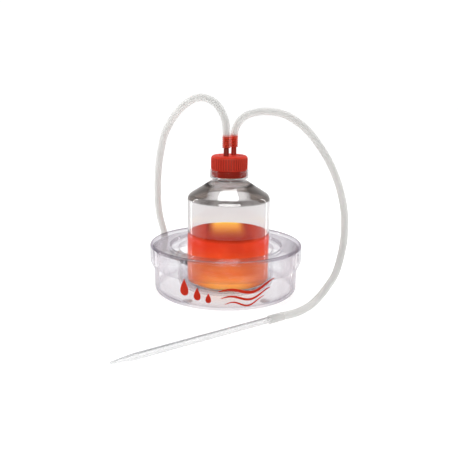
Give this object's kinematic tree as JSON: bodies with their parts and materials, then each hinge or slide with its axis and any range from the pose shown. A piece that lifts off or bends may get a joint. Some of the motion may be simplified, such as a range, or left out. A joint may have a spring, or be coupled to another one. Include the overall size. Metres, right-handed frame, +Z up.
{
  "type": "suction pump",
  "caption": "Benchtop suction pump: a clear round base with a hidden diaphragm pump holds a collecting bottle, with a vacuum hose to the base and a suction hose with a pipette.",
  "frame": {"origin": "middle of the base on the bench, at the underside of the rubber feet", "axes": "+Z up along the base's axis, -Y towards the front of the base, +X to the right seen from the front"},
  "size_m": [0.2243, 0.275, 0.2068],
  "materials": {
    "clear_base": "clear moulded plastic, slightly frosted",
    "clear_bottle": "clear glossy plastic",
    "liquid": "clear orange-red liquid",
    "red_plastic": "satin moulded red plastic",
    "hose": "milky translucent tubing",
    "pipette_plastic": "clear moulded plastic",
    "pale_rubber": "translucent silicone rubber",
    "rubber": "matte black rubber",
    "steel": "satin plated steel",
    "brass": "satin",
    "black_plastic": "fine moulded texture",
    "grey_plastic": "fine moulded texture",
    "white_plastic": "satin",
    "red_wire": "satin insulation",
    "black_wire": "satin insulation"
  },
  "bodies": {
    "base": {"base_tray": "clear_base", "base_lid": "clear_base", "vacuum_hose": "hose", "suction_hose": "hose", "inner_hose": "hose", "hose_adapter": "hose", "rubber_foot_1": "pale_rubber", "rubber_foot_2": "pale_rubber", "rubber_foot_3": "pale_rubber", "rubber_foot_4": "pale_rubber", "diaphragm": "rubber", "inlet_flap": "rubber", "outlet_flap": "rubber", "lid_screw_1": "steel", "lid_screw_2": "steel", "lid_screw_3": "steel", "motor_can": "steel", "head_screw_1": "steel", "head_screw_2": "steel", "head_screw_3": "steel", "head_screw_4": "steel", "pump_screw_1": "steel", "pump_screw_2": "steel", "jack_nut": "steel", "motor_terminal_front": "brass", "motor_terminal_back": "brass", "power_jack": "black_plastic", "switch_body": "black_plastic", "motor_cradle": "black_plastic", "crankcase": "grey_plastic", "valve_plate": "grey_plastic", "pump_head": "grey_plastic", "vacuum_elbow": "white_plastic", "elbow_nut": "white_plastic", "inner_elbow": "white_plastic", "motor_end_cap": "white_plastic", "connecting_rod": "white_plastic", "exhaust_silencer": "white_plastic", "jack_to_switch_wire": "red_wire", "switch_to_motor_wire": "red_wire", "jack_to_motor_wire": "black_wire"},
    "bottle": {"bottle": "clear_bottle", "collected_liquid": "liquid", "port_insert": "red_plastic", "insert_gasket": "rubber"},
    "cap_washer": {"slip_washer": "white_plastic"},
    "cap": {"screw_cap": "red_plastic"},
    "rocker": {"switch_rocker": "red_plastic"},
    "rotor": {"motor_shaft": "steel", "eccentric_crank": "brass"},
    "pipette": {"pipette": "pipette_plastic"}
  },
  "joints": [
    {"name": "bottle_lift", "type": "slide", "parent": "base", "child": "bottle", "axis": [0, 0, 1], "range_m": [0, 0.05], "deforming": ["vacuum_hose", "suction_hose"]},
    {"name": "cap_rise", "type": "slide", "parent": "bottle", "child": "cap_washer", "axis": [0, 0, 1], "range_m": [0, 0.00635]},
    {"name": "cap_turn", "type": "hinge", "parent": "cap_washer", "child": "cap", "pos_m": [0.0024, 0, 0.13], "axis": [0, 0, 1], "range_deg": [0, 540]},
    {"name": "switch_press", "type": "hinge", "parent": "base", "child": "rocker", "pos_m": [0.03532, 0.06932, 0.021], "axis": [0, 0, 1], "range_deg": [0, 16]},
    {"name": "motor_spin", "type": "hinge", "parent": "base", "child": "rotor", "pos_m": [0.008, 0.0596, 0.0155], "axis": [1, 0, 0], "continuous": true},
    {"name": "pipette_pull", "type": "slide", "parent": "base", "child": "pipette", "axis": [-0.824, -0.5665, -0.0066], "range_m": [0, 0.02]}
  ],
  "couplings": [
    {"joint": "cap_rise", "follows": "cap_turn", "m_per_rad": 0.00067323}
  ]
}
